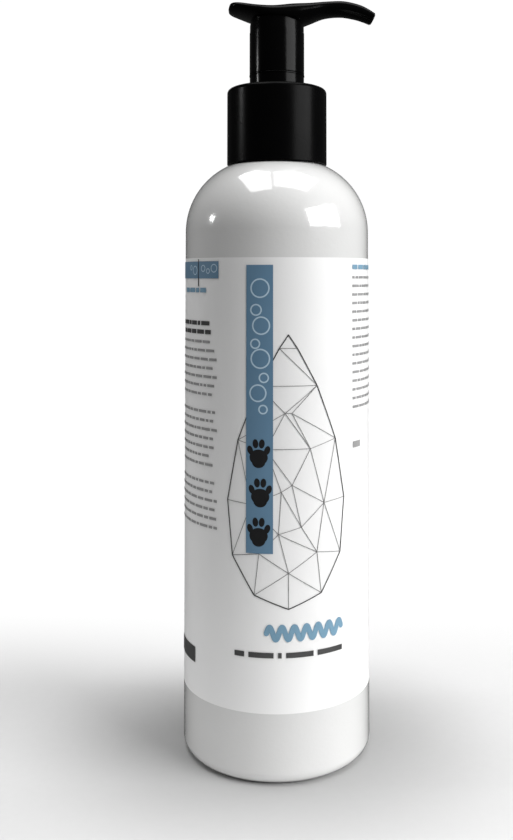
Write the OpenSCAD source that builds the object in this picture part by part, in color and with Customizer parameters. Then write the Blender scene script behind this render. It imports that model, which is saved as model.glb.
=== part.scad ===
// Round 250 ml bottle with a wraparound label and a lock-down lotion pump.
// Millimetres. +Z up, origin on the table at the centre of the base, nozzle towards +X.
// The pump is drawn with its head down, at the angle where the lock lets it rise.

/* [Bottle] */
// Outside diameter of the bottle's straight body
bottle_d = 49.8; // [41.5:0.1:62]
// Height from the table to the flat land under the closure
bottle_h = 154.7; // [128:0.1:200]
// Thickness of the bottle's wall
bottle_wall = 1.0; // [0.6:0.1:1.6]
// Outside radius of the shoulder
shoulder_r = 19.9; // [16:0.1:20.5]
// Outside radius of the heel, where the body turns under
heel_r = 3.0; // [1.8:0.1:4]
// Radius of the hollow under the base
pushup_r = 16.5; // [10:0.1:17]
// Height of the hollow under the base
pushup_h = 2.0; // [0.8:0.1:3]

/* [Neck] */
// Height of the neck above the land
neck_h = 17.2; // [15:0.1:21]
// Diameter over the neck's thread
thread_d = 23.8; // [21.5:0.1:29]
// How far the thread stands out of the neck
thread_depth = 1.1; // [0.8:0.1:1.3]
// Thickness of the neck's wall
neck_wall = 1.6; // [1.2:0.1:1.8]
// Rise of the thread in one turn
thread_pitch = 3.175; // [2.8:0.005:3.9]
// Turns of thread on the neck
neck_turns = 1.5; // [1:0.25:1.75]

/* [Label] */
// Height of the label's lower edge above the table
label_z = 17.5; // [8:0.1:22]
// Height of the label
label_h = 111.8; // [80:0.1:113]
// Thickness of the label
label_t = 0.1; // [0.08:0.01:0.2]
// Angle of the seam where the label's ends overlap, in degrees
label_lap = 12; // [4:1:30]

/* [Closure] */
// Thickness of the closure's side wall outside the thread's bore
closure_wall = 1.575; // [1.2:0.005:2.2]
// Thickness of the closure's top plate
closure_plate = 1.3; // [1:0.1:1.8]
// Radius of the closure's top edge
closure_edge_r = 1.2; // [0.4:0.1:1.2]
// Turns of thread inside the closure
closure_turns = 1.25; // [1:0.25:1.5]
// Thickness of the gasket
gasket_t = 0.8; // [0.5:0.1:1.2]

/* [Pump housing] */
// Bore of the pump's cylinder
pump_bore = 11.5; // [9.5:0.1:13]
// Thickness of the housing's wall
housing_wall = 1.0; // [0.8:0.1:1.1]
// Thickness of the housing's flange
housing_flange = 1.0; // [0.8:0.1:1.4]
// Stroke of the head, from locked down to fully up
stroke = 14; // [11:0.5:17]
// Diameter of the check valve's ball
ball_d = 4.8; // [4:0.1:5.6]
// How far the ball can lift off its seat
ball_lift = 1.2; // [0.8:0.1:1.6]
// Outside diameter of the dip tube
tube_d = 6.0; // [5:0.1:7.2]
// Thickness of the dip tube's wall
tube_wall = 0.9; // [0.6:0.1:1.1]
// Depth of the socket that holds the dip tube
tube_socket = 9.2; // [6:0.1:12]
// Gap between the dip tube's point and the bottle's floor
tube_gap = 1.5; // [1:0.1:4]

/* [Stem and piston] */
// Outside diameter of the stem
stem_d = 7.0; // [5.9:0.1:8.4]
// Bore of the stem
stem_bore = 4.2; // [3.5:0.1:4.6]
// Length of the piston's inner sleeve
sleeve_h = 6.0; // [5:0.1:8]
// Thickness of the piston's inner sleeve
sleeve_wall = 0.8; // [0.6:0.1:0.9]
// Lost motion of the piston on the stem
piston_play = 1.0; // [0.6:0.1:1.4]
// Thickness of the plug's flange
plug_flange = 2.0; // [1.4:0.1:2.6]
// Wire diameter of the spring
wire_d = 0.9; // [0.7:0.05:1.0]
// Length of the spring with the head down
spring_len = 14.5; // [12.2:0.1:18]
// Turns of the spring, counting the two closed ends
spring_turns = 8.5; // [7:0.5:9]

/* [Chaplet] */
// Height of the collar above the closure
collar_h = 4.0; // [3.6:0.1:6]
// Wall of the collar outside the lock's groove
collar_wall = 1.18; // [0.9:0.01:1.6]
// Thickness of the flange held under the closure's plate
chaplet_flange = 0.9; // [0.7:0.1:1.3]
// Length of the guide inside the housing
guide_h = 8.4; // [7:0.1:11]
// Height of the locking lugs
lug_h = 1.5; // [1.2:0.1:1.7]
// How far the lugs stand out of the head's boss
lug_depth = 0.9; // [0.6:0.1:1.0]
// Width of the locking lugs
lug_w = 4.0; // [3:0.1:5]

/* [Head] */
// Height of the skirt under the head
skirt_h = 13.6; // [12:0.1:17]
// Wall of the skirt
skirt_wall = 1.15; // [0.9:0.05:1.4]
// Wall of the boss round the stem
boss_wall = 1.65; // [1.3:0.05:2]
// Reach of the nozzle from the pump's axis
nozzle_reach = 27.3; // [23:0.1:33]
// Reach of the thumb pad behind the axis
pad_reach = 13.3; // [11:0.1:16]
// Half the width of the thumb pad
pad_half_w = 8.0; // [7.6:0.1:10]
// Half the width of the nozzle's tip
tip_half_w = 3.3; // [2.8:0.1:4]
// Bore of the nozzle
nozzle_bore = 2.4; // [1.8:0.1:2.6]

/* [Clearances] */
// Running gap round the stem and the piston
run_gap = 0.06; // [0.03:0.01:0.1]
// Gap between parts that turn or slide past each other
free_gap = 0.15; // [0.1:0.01:0.2]
// Gap between the crests of one thread and the roots of the other
thread_gap = 0.2; // [0.15:0.01:0.3]
// Gap between the closure's lower edge and the land
closure_lift = 0.3; // [0.2:0.1:0.8]
// Gap left between parts of one body that touch on a round face
seat_gap = 0.02; // [0.01:0.01:0.04]

/* [Hidden] */
$fn = 96;
// How far a cut runs past the face it opens
over = 1;

// Radii, from the stem outwards
lock_clear = 0.05;
skirt_step = 0.05;
flange_w = 2.4;
stem_r = stem_d / 2;
bore_r = pump_bore / 2;
boss_r = stem_r + run_gap + boss_wall;
ledge_r = boss_r + free_gap + lock_clear;
groove_r = boss_r + lug_depth + free_gap + lock_clear;
collar_r = groove_r + collar_wall;
hole_r = collar_r + free_gap;
bead_out = 0.12;
bead_h = 0.4;
housing_r = bore_r + housing_wall;
chaplet_flange_r = hole_r + flange_w;
skirt_r = collar_r + skirt_step;
skirt_in_r = skirt_r - skirt_wall;

// Radii of the neck and the closure
land_step = 0.4;
flange_clear = 0.9;
gasket_clear = 0.7;
neck_r = thread_d / 2 - thread_depth;
neck_bore_r = neck_r - neck_wall;
closure_bore_r = thread_d / 2 + thread_gap;
closure_r = closure_bore_r + closure_wall;
land_r = closure_r - land_step;
housing_flange_r = closure_bore_r - flange_clear;
gasket_r = closure_bore_r - gasket_clear;

// Thread sections: axial widths at the wall and at the crest
thread_root_w = 1.5;
thread_tip_w = 0.9;
thread_sink = 0.3;
thread_step = 10;
thread_fade = 4;
thread_least = 0.05;

// The shoulder's arc ends on the land's edge
bottle_r = bottle_d / 2;
shoulder_cr = bottle_r - shoulder_r;
shoulder_z = bottle_h - sqrt(pow(shoulder_r, 2) - pow(land_r - shoulder_cr, 2));

// Heights of the stack on the bottle's lip
lip_z = bottle_h + neck_h;
flange_z = lip_z + gasket_t;
flange_top = flange_z + housing_flange;
plate_z = flange_top + chaplet_flange;
closure_top = plate_z + closure_plate;
closure_z = bottle_h + closure_lift;
collar_top = closure_top + collar_h;

// The closure's thread starts half a turn below the neck's, in the gap between its turns
thread_drop = 2.0;
closure_lead = 0.5;
neck_thread_z = lip_z - thread_drop - thread_pitch * neck_turns;
closure_thread_z = neck_thread_z - thread_pitch * closure_lead;

// Heights inside the housing, from the top of the guide down to the spring's seat
stop_gap = 0.2;
shoulder_h = 1.5;
piston_gap = 0.1;
guide_z = flange_top - guide_h;
stem_shoulder_top = guide_z - stop_gap - stroke;
stem_shoulder_z = stem_shoulder_top - shoulder_h;
valve_z = stem_shoulder_z - piston_gap - piston_play - sleeve_h;
plug_z = valve_z - plug_flange;
seat_z = plug_z - spring_len;

// Check valve
ball_r = ball_d / 2;
inlet_r = ball_r * 2 / 3;
cage_gap = 0.5;
cage_r = ball_r + cage_gap;
cage_wall = 1.2;
rib_h = 1.0;
rib_w = 0.8;
rib_gap = 0.1;
seat_clear = 0.05;
ball_z = seat_z - rib_h - rib_gap - ball_lift - ball_r;
cone_z = ball_z + inlet_r - (ball_r + seat_clear) * sqrt(2);
inlet_h = 1.2;
socket_top = cone_z - inlet_h;
socket_z = socket_top - tube_socket;
tube_r = tube_d / 2;
tube_end_gap = 0.1;
socket_wall = 1.1;
step_h = 1;

// Spring, coiled round the plug's spigot
coil_gap = 1.0;
spigot_gap = 0.35;
spring_end_gap = 0.05;
spring_r = bore_r - coil_gap - wire_d / 2;
spigot_r = spring_r - wire_d / 2 - spigot_gap;
spigot_h = 2.5;
stem_flange_gap = 0.9;
stem_flange_r = bore_r - stem_flange_gap;

// Lock: boss, lugs and groove
boss_drop = 0.5;
groove_drop = 0.5;
lug_gap = 0.2;
slot_gap = 0.6;
boss_z = collar_top - collar_h - boss_drop;
groove_z = boss_z - groove_drop;
groove_top = boss_z + lug_h + lug_gap;
slot_w = lug_w + slot_gap;

// Head
head_gap = 0.1;
pocket_cover = 2.0;
stem_cover = 2.1;
skirt_sink = 2.5;
boss_sink = 1.0;
skirt_z = collar_top + head_gap;
head_z = skirt_z + skirt_h;
stem_top = head_z - stem_cover;
pocket_top = head_z - pocket_cover;
channel_r = nozzle_bore / 2;
// How far the rounded bends of the channel stand outside its bore
bend_out = 0.05;

// Side outline of the head as pairs of upper and lower points with half widths.
// X runs from the pad's end to the nozzle's tip and Z starts at the top of the skirt.
pr = pad_reach;
nr = nozzle_reach;
pw = pad_half_w;
tw = tip_half_w;
head_rows = [
    [[-pr, 4.5], [-pr, 3.9], 0.25 * pw],
    [[-pr + 0.7, 5.75], [-pr + 0.8, 3.4], 0.56 * pw],
    [[-pr + 2.8, 5.8], [-pr + 3.0, 2.7], 0.80 * pw],
    [[-5.6, 5.0], [-6.2, 1.3], 0.98 * pw],
    [[-1.0, 4.9], [0, -0.2], pw],
    [[4.3, 5.5], [5.0, -0.3], 0.94 * pw],
    [[9.0, 5.85], [9.0, 1.0], 0.78 * pw],
    [[nr - 13.5, 6.4], [nr - 14.3, 2.45], tw + 1.6],
    [[nr - 8.9, 6.6], [nr - 9.8, 2.8], tw + 0.9],
    [[nr - 4.6, 5.7], [nr - 6.1, 2.2], tw + 0.5],
    [[nr - 2.0, 4.5], [nr - 3.6, 1.45], tw + 0.2],
    [[nr, 3.2], [nr - 1.5, 0.6], tw]
];
// Centreline of the nozzle's bore, from above the stem to the tip
channel = [[0, 2.4], [nr - 10.3, 4.7], [nr - 5.3, 4.0], [nr - 0.75, 2.05], [nr + 1, 1.1]];
head_sides = 28;
head_subs = 3;
head_power = 2.6;

function lerp(a, b, t) = a + (b - a) * t;
function clamp_index(i, n) = max(0, min(n - 1, i));
// Catmull-Rom curve through the values of v, at t from 0 to len(v) - 1
function through(v, t) =
    let (i = min(floor(t), len(v) - 2), f = t - i,
         a = v[clamp_index(i - 1, len(v))], b = v[i], c = v[i + 1],
         d = v[clamp_index(i + 2, len(v))])
    0.5 * (2 * b + (c - a) * f + (2 * a - 5 * b + 4 * c - d) * f * f
           + (3 * b - a - 3 * c + d) * f * f * f);
function signed_pow(x, p) = sign(x) * pow(abs(x), p);

// Triangles of a tube of rings with n points each, closed by a fan at both ends
function tube_faces(rings, n, flip = false) =
    let (side = [for (i = [0 : rings - 2], j = [0 : n - 1])
                 let (a = i * n + j, b = i * n + (j + 1) % n)
                 each [[a, b, a + n], [b, b + n, a + n]]],
         first = [for (j = [1 : n - 2]) [0, j + 1, j]],
         base = (rings - 1) * n,
         last = [for (j = [1 : n - 2]) [base, base + j, base + j + 1]],
         all = concat(side, first, last))
    flip ? [for (f = all) [f[0], f[2], f[1]]] : all;

// A helical thread on a wall of radius wall_r, standing out to tip_r, that fades at both ends
module thread(wall_r, tip_r, z, turns) {
    out = tip_r > wall_r;
    root_r = wall_r + (out ? -thread_sink : thread_sink);
    steps = round(turns * 360 / thread_step);
    points = [for (i = [0 : steps])
        let (a = i * thread_step, h = z + thread_pitch * a / 360,
             k = min(1, min(i, steps - i) / thread_fade),
             crest = lerp(root_r, tip_r, max(k, thread_least)))
        each [[root_r * cos(a), root_r * sin(a), h - thread_root_w / 2],
              [crest * cos(a), crest * sin(a), h - thread_tip_w / 2],
              [crest * cos(a), crest * sin(a), h + thread_tip_w / 2],
              [root_r * cos(a), root_r * sin(a), h + thread_root_w / 2]]];
    polyhedron(points = points, faces = tube_faces(steps + 1, 4, !out), convexity = 10);
}

// Half section of the bottle below the neck, drawn in by inset all round
module body_section(inset) {
    least_heel = 0.3;
    r = bottle_r - inset;
    heel = max(heel_r - inset, least_heel);
    arc = shoulder_r - inset;
    intersection() {
        square([r, bottle_h - inset]);
        union() {
            translate([0, inset]) square([r - heel, shoulder_z - inset]);
            translate([0, inset + heel]) square([r, shoulder_z - inset - heel]);
            translate([r - heel, inset + heel]) circle(heel);
            translate([shoulder_cr, shoulder_z]) circle(arc);
            translate([0, shoulder_z]) square([shoulder_cr, arc]);
        }
    }
}

// Circle whose top cuts the hollow under the base, grown by a wall
module pushup_circle(grow) {
    r = (pow(pushup_r, 2) + pow(pushup_h, 2)) / (2 * pushup_h);
    translate([0, pushup_h - r]) circle(r + grow, $fn = 360);
}

module right_half(h) {
    intersection() {
        children();
        translate([0, -h]) square([h, 2 * h]);
    }
}

// Blow-moulded bottle, turned from its half section, with the neck's thread
module bottle() {
    color("white") {
        rotate_extrude() difference() {
            union() {
                body_section(0);
                translate([0, bottle_h - bottle_wall]) square([neck_r, neck_h + bottle_wall]);
            }
            right_half(bottle_h) pushup_circle(0);
            difference() {
                body_section(bottle_wall);
                right_half(bottle_h) pushup_circle(bottle_wall);
            }
            translate([0, shoulder_z]) square([neck_bore_r, lip_z - shoulder_z + over]);
        }
        thread(neck_r, thread_d / 2, neck_thread_z, neck_turns);
    }
}

// Printed label wrapped once round the body, its ends lapped at the back
module label() {
    lap_t = 1.5 * label_t;
    color("whitesmoke") {
        translate([0, 0, label_z]) difference() {
            cylinder(r = bottle_r + label_t, h = label_h);
            translate([0, 0, -over]) cylinder(r = bottle_r, h = label_h + 2 * over);
        }
        rotate([0, 0, 90 - label_lap / 2]) rotate_extrude(angle = label_lap)
            translate([bottle_r + label_t / 2, label_z]) square([lap_t, label_h]);
    }
}

// Screw cap with a hole for the chaplet's collar
module closure() {
    color("#161616") {
        rotate_extrude() difference() {
            union() {
                translate([0, closure_z]) square([closure_r, closure_top - closure_edge_r - closure_z]);
                translate([0, closure_z]) square([closure_r - closure_edge_r, closure_top - closure_z]);
                translate([closure_r - closure_edge_r, closure_top - closure_edge_r])
                    circle(closure_edge_r);
            }
            translate([0, closure_z - over]) square([closure_bore_r, plate_z - closure_z + over]);
            translate([0, closure_z - over]) square([hole_r, closure_top - closure_z + 2 * over]);
        }
        thread(closure_bore_r, neck_r + thread_gap, closure_thread_z, closure_turns);
    }
}

// Soft ring that seals the pump on the bottle's lip
module gasket() {
    color("gainsboro") translate([0, 0, lip_z]) difference() {
        cylinder(r = gasket_r, h = gasket_t);
        translate([0, 0, -over]) cylinder(r = housing_r + seat_gap, h = gasket_t + 2 * over);
    }
}

// Collar that guides the stem and locks the head down
module chaplet() {
    bead_gap = 0.05;
    slot_h = collar_top - groove_z + over;
    color("#161616") difference() {
        rotate_extrude() union() {
            translate([0, guide_z]) square([bore_r - seat_gap, guide_h]);
            translate([0, flange_top]) square([chaplet_flange_r, chaplet_flange]);
            translate([0, plate_z]) square([collar_r, collar_top - plate_z]);
            // bead that keeps the closure on
            translate([0, closure_top + bead_gap]) square([hole_r + bead_out, bead_h]);
            // rolled rim of the collar
            translate([0, collar_top - bead_h]) square([collar_r + bead_out, bead_h]);
        }
        translate([0, 0, guide_z - over])
            cylinder(r = stem_r + run_gap, h = collar_top - guide_z + 2 * over);
        translate([0, 0, groove_z]) cylinder(r = groove_r, h = groove_top - groove_z);
        translate([0, 0, groove_z]) cylinder(r = ledge_r, h = slot_h);
        translate([0, 0, groove_z]) intersection() {
            cylinder(r = groove_r, h = slot_h);
            translate([-slot_w / 2, -groove_r - over, 0])
                cube([slot_w, 2 * (groove_r + over), slot_h + over]);
        }
    }
}

// Pump cylinder with its flange, check valve seat and tube socket
module housing() {
    neck_out_r = cage_r + cage_wall;
    taper = housing_r - neck_out_r;
    rib_sink = 0.5;
    color("ghostwhite") {
        rotate_extrude() difference() {
            polygon([
                [0, socket_z], [tube_r + socket_wall, socket_z], [tube_r + socket_wall, socket_top],
                [neck_out_r, socket_top + step_h], [neck_out_r, seat_z - taper - step_h],
                [housing_r, seat_z - step_h], [housing_r, flange_z],
                [housing_flange_r, flange_z], [housing_flange_r, flange_top], [0, flange_top]
            ]);
            translate([0, seat_z]) square([bore_r, flange_top - seat_z + over]);
            polygon([
                [0, socket_z - over], [tube_r + seat_gap, socket_z - over],
                [tube_r + seat_gap, socket_top],
                [inlet_r, socket_top], [inlet_r, cone_z],
                [cage_r, cone_z + cage_r - inlet_r], [cage_r, seat_z + over], [0, seat_z + over]
            ]);
        }
        // ribs that keep the ball in its cage
        for (a = [0 : 120 : 240]) rotate([0, 0, a])
            translate([inlet_r, -rib_w / 2, seat_z - rib_h])
                cube([cage_r - inlet_r + rib_sink, rib_w, rib_h]);
    }
}

// Tube down to the bottle's floor, cut to a point
module dip_tube() {
    foot = pushup_h + bottle_wall + tube_gap;
    color("ghostwhite") difference() {
        translate([0, 0, foot]) cylinder(r = tube_r, h = socket_top - foot - tube_end_gap);
        cylinder(r = tube_r - tube_wall, h = lip_z);
        translate([-tube_r, 0, foot]) rotate([0, 45, 0])
            translate([-tube_d * 3, -tube_d, -tube_d * 3]) cube([tube_d * 6, tube_d * 2, tube_d * 3]);
    }
}

// Return spring, one helix with closed ends
module spring() {
    per_turn = 18;
    sides = 8;
    steps = round(spring_turns * per_turn);
    wire_pitch = 1.04;
    closed = wire_d * wire_pitch;
    open = (spring_len - wire_d - 2 * closed - 2 * spring_end_gap) / (spring_turns - 2);
    color("silver") polyhedron(
        points = [for (i = [0 : steps])
            let (t = i / per_turn, a = 360 * t,
                 h = seat_z + spring_end_gap + wire_d / 2
                     + closed * (min(t, 1) + max(t - spring_turns + 1, 0))
                     + open * max(0, min(t, spring_turns - 1) - 1))
            each [for (j = [0 : sides - 1])
                let (b = 360 * j / sides, r = spring_r + wire_d / 2 * cos(b))
                [r * cos(a), r * sin(a), h + wire_d / 2 * sin(b)]]],
        faces = tube_faces(steps + 1, sides), convexity = 20);
}

// Check valve ball on its seat
module ball() {
    color("silver") translate([0, 0, ball_z]) sphere(ball_r);
}

// Hollow stem with a shoulder above the piston and two ports at its foot
module stem() {
    port_r = 0.45;
    port_z = valve_z + 0.6;
    color("ghostwhite") difference() {
        rotate_extrude() difference() {
            union() {
                translate([0, valve_z]) square([stem_r, stem_top - valve_z]);
                translate([0, stem_shoulder_z]) square([stem_flange_r, shoulder_h]);
            }
            translate([0, valve_z - over]) square([stem_bore / 2, stem_top - valve_z + 2 * over]);
        }
        translate([0, 0, port_z]) rotate([90, 0, 0])
            cylinder(r = port_r, h = stem_d + 2 * over, center = true);
    }
}

// Plug in the stem's foot: valve seat above, spring seat below, grooved for the flow
module stem_plug() {
    core_r = stem_bore / 4;
    core_h = 2;
    press_h = 5;
    overlap = 0.5;
    flute_w = 0.8;
    flute_z = valve_z + 1;
    color("ghostwhite") difference() {
        rotate_extrude() union() {
            translate([0, plug_z - spigot_h]) square([spigot_r, spigot_h + overlap]);
            translate([0, plug_z]) square([stem_flange_r, plug_flange]);
            translate([0, valve_z]) square([core_r, core_h + overlap]);
            translate([0, valve_z + core_h]) square([stem_bore / 2 - seat_gap, press_h]);
        }
        for (a = [0 : 120 : 240]) rotate([0, 0, a])
            translate([core_r, -flute_w / 2, flute_z]) cube([stem_bore, flute_w, press_h + core_h]);
    }
}

// Sliding seal: inner sleeve on the stem, web, and a lipped outer ring in the bore
module piston() {
    seal_r = bore_r - run_gap;
    web_h = 1.2;
    lip_wall = 0.6;
    color("whitesmoke") rotate_extrude() difference() {
        union() {
            translate([0, valve_z]) square([stem_r + run_gap + sleeve_wall, sleeve_h]);
            translate([0, valve_z + sleeve_h / 2 - web_h / 2]) square([seal_r, web_h]);
            translate([seal_r - lip_wall, valve_z]) square([lip_wall, sleeve_h]);
        }
        translate([0, valve_z - over]) square([stem_r + run_gap, sleeve_h + 2 * over]);
    }
}

// Solid of the head: thumb pad behind, nozzle in front
module head_shape() {
    top = [for (r = head_rows) r[0]];
    low = [for (r = head_rows) r[1]];
    half = [for (r = head_rows) r[2]];
    steps = (len(head_rows) - 1) * head_subs;
    points = [for (i = [0 : steps])
        let (t = i / head_subs, a = through(top, t), b = through(low, t), w = through(half, t),
             mid = (a + b) / 2, up = (a - b) / 2)
        each [for (j = [0 : head_sides - 1])
            let (q = 360 * j / head_sides,
                 s = signed_pow(sin(q), 2 / head_power), c = signed_pow(cos(q), 2 / head_power))
            [mid[0] + up[0] * s, w * c, mid[1] + up[1] * s]]];
    translate([0, 0, head_z])
        polyhedron(points = points, faces = tube_faces(steps + 1, head_sides, true), convexity = 10);
}

// Round passage from one point of the channel to the next
module passage(a, b) {
    run = b - a;
    translate([a[0], 0, head_z + a[1]]) {
        sphere(channel_r + bend_out);
        rotate([0, atan2(run[0], run[1]), 0]) cylinder(r = channel_r, h = norm(run));
    }
}

// Head with its nozzle, skirt, boss and locking lugs
module actuator() {
    color("#161616") difference() {
        union() {
            head_shape();
            translate([0, 0, skirt_z]) difference() {
                cylinder(r = skirt_r, h = skirt_h + skirt_sink);
                translate([0, 0, -over]) cylinder(r = skirt_in_r, h = pocket_top - skirt_z + over);
            }
            translate([0, 0, boss_z]) cylinder(r = boss_r, h = head_z - boss_z + boss_sink);
            translate([0, 0, boss_z]) intersection() {
                cylinder(r = boss_r + lug_depth, h = lug_h);
                translate([-lug_w / 2, -boss_r - lug_depth - over, 0])
                    cube([lug_w, 2 * (boss_r + lug_depth + over), lug_h]);
            }
        }
        translate([0, 0, boss_z - over])
            cylinder(r = stem_r + run_gap, h = stem_top - boss_z + over + seat_gap);
        translate([0, 0, boss_z]) cylinder(r = stem_bore / 2, h = head_z + channel[0][1] - boss_z);
        for (i = [0 : len(channel) - 2]) passage(channel[i], channel[i + 1]);
    }
}

bottle();
label();
closure();
gasket();
chaplet();
housing();
dip_tube();
spring();
ball();
stem();
stem_plug();
piston();
actuator();
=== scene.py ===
"""A 250 ml shampoo bottle with a wraparound label and a lotion pump, put together from the base up.

Outlines are written in millimetres as (radius, height) and become metres when a piece is finished.
"""
import math
import random

import bmesh
import bpy
from mathutils import Matrix, Vector
from mathutils.geometry import delaunay_2d_cdt


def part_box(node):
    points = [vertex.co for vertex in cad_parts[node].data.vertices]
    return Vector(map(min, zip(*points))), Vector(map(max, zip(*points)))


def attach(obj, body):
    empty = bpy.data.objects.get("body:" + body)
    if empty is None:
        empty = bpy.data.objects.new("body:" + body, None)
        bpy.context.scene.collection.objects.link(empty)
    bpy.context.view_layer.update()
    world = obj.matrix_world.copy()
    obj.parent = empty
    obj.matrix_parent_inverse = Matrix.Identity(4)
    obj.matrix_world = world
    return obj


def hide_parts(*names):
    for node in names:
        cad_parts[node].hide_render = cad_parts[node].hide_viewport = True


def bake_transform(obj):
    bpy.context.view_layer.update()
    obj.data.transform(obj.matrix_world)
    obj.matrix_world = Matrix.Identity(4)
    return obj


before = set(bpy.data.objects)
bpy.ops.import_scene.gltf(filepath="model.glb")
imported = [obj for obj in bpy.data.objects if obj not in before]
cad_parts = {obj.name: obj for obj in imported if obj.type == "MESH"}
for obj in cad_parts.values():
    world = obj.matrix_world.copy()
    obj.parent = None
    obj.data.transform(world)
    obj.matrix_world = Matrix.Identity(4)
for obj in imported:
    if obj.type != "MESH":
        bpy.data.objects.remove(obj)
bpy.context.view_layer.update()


# ------------------------------------------------------------------ bottle
# Blow-moulded bottle of glossy white polyethylene: one thin wall turned round the axis, hollow
# under the base so that it stands on a ring, with a flat land and a threaded neck above the
# shoulder. The two halves of the mould leave a pinched line across the base.
MM = 0.001
AXIS = (0, 0, 1)
PITCH = 3.175


def arc(centre, radius, start, end, steps):
    """Points of an arc round a centre, with its angles in degrees from the outward direction."""
    angles = [math.radians(start + (end - start) * i / steps) for i in range(steps + 1)]
    return [(centre[0] + radius * math.cos(a), centre[1] + radius * math.sin(a)) for a in angles]


def add_to(whole, part):
    """Moves the geometry of one bmesh into another."""
    bmesh.ops.recalc_face_normals(part, faces=part.faces)
    mesh = bpy.data.meshes.new("part")
    part.to_mesh(mesh)
    part.free()
    whole.from_mesh(mesh)
    bpy.data.meshes.remove(mesh)


def close_ends(part):
    """Fills the open ends of a swept tube."""
    bmesh.ops.holes_fill(part, edges=[e for e in part.edges if e.is_boundary])


def wire(part, corners, loop):
    """Draws an outline in the XZ plane and rounds each corner that names a third value."""
    points = [part.verts.new((c[0], 0, c[1])) for c in corners]
    for a, b in zip(points, points[1:] + points[:1] if loop else points[1:]):
        part.edges.new((a, b))
    for point, corner in zip(points, corners):
        if len(corner) == 3:
            bmesh.ops.bevel(part, geom=[point], offset=corner[2], offset_type="OFFSET", segments=5,
                            profile=0.5, affect="VERTICES", material=-1)


def turned(whole, corners, steps=96, turn=360, start=0):
    """Turns an outline about the axis. An outline that starts and ends on the axis is left open."""
    part = bmesh.new()
    wire(part, corners, loop=corners[0][0] > 0)
    bmesh.ops.rotate(part, verts=part.verts, matrix=Matrix.Rotation(math.radians(start), 3, "Z"))
    bmesh.ops.spin(part, geom=part.verts[:] + part.edges[:], axis=AXIS, angle=math.radians(turn),
                   steps=steps, use_merge=turn == 360)
    bmesh.ops.remove_doubles(part, verts=part.verts, dist=0.001)
    close_ends(part)
    add_to(whole, part)


def thread(whole, wall_r, crest_r, start_z, turns):
    """Sweeps a thread's section up a helix. Its two ends fade into the wall."""
    root_half, crest_half, sink, least, fade_rate = 0.75, 0.45, 0.3, 0.03, 8
    part = bmesh.new()
    steps = round(turns * 60)
    root_r = wall_r + math.copysign(sink, wall_r - crest_r)
    wire(part, [(root_r, start_z - root_half), (crest_r, start_z - crest_half, 0.2),
                (crest_r, start_z + crest_half, 0.2), (root_r, start_z + root_half)], loop=True)
    bmesh.ops.spin(part, geom=part.verts[:] + part.edges[:], axis=AXIS,
                   angle=turns * 2 * math.pi, steps=steps, dvec=(0, 0, PITCH * turns / steps))
    close_ends(part)
    for v in part.verts:
        around = math.atan2(v.co.y, v.co.x) / (2 * math.pi) % 1
        along = around + round((v.co.z - start_z) / PITCH - around)
        fade = min(1, max(least, min(along, turns - along) * fade_rate))
        radius = v.co.xy.length
        v.co.xy *= (root_r + (radius - root_r) * fade) / radius
    add_to(whole, part)


def finished(name, part, material, sharp=32):
    """Makes an object of a finished bmesh: metres, smooth faces, and edges sharp past an angle."""
    bmesh.ops.scale(part, vec=(MM, MM, MM), verts=part.verts)
    mesh = bpy.data.meshes.new(name)
    part.to_mesh(mesh)
    part.free()
    mesh.shade_smooth()
    mesh.set_sharp_from_angle(angle=math.radians(sharp))
    mesh.materials.append(material)
    obj = bpy.data.objects.new(name, mesh)
    obj.modifiers.new("large_faces_lead", "WEIGHTED_NORMAL").keep_sharp = True
    bpy.context.scene.collection.objects.link(obj)
    return obj


def grain_group():
    """Shared moulding effect: broad patches for colour and gloss, and a fine grain for bump."""
    group = bpy.data.node_groups.new("moulded_grain", "ShaderNodeTree")
    sockets = group.interface
    sockets.new_socket("Position", in_out="INPUT", socket_type="NodeSocketVector")
    sockets.new_socket("Patches per metre", in_out="INPUT", socket_type="NodeSocketFloat")
    sockets.new_socket("Grains per metre", in_out="INPUT", socket_type="NodeSocketFloat")
    sockets.new_socket("Patch", in_out="OUTPUT", socket_type="NodeSocketFloat")
    sockets.new_socket("Height", in_out="OUTPUT", socket_type="NodeSocketFloat")
    inside = group.nodes.new("NodeGroupInput")
    result = group.nodes.new("NodeGroupOutput")
    patch = group.nodes.new("ShaderNodeTexNoise")
    patch.inputs["Detail"].default_value = 3
    grain = group.nodes.new("ShaderNodeTexNoise")
    grain.inputs["Detail"].default_value = 2
    links = group.links
    for texture, scale in ((patch, "Patches per metre"), (grain, "Grains per metre")):
        links.new(inside.outputs["Position"], texture.inputs["Vector"])
        links.new(inside.outputs[scale], texture.inputs["Scale"])
    links.new(patch.outputs["Fac"], result.inputs["Patch"])
    links.new(grain.outputs["Fac"], result.inputs["Height"])
    return group


GRAIN = grain_group()


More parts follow.
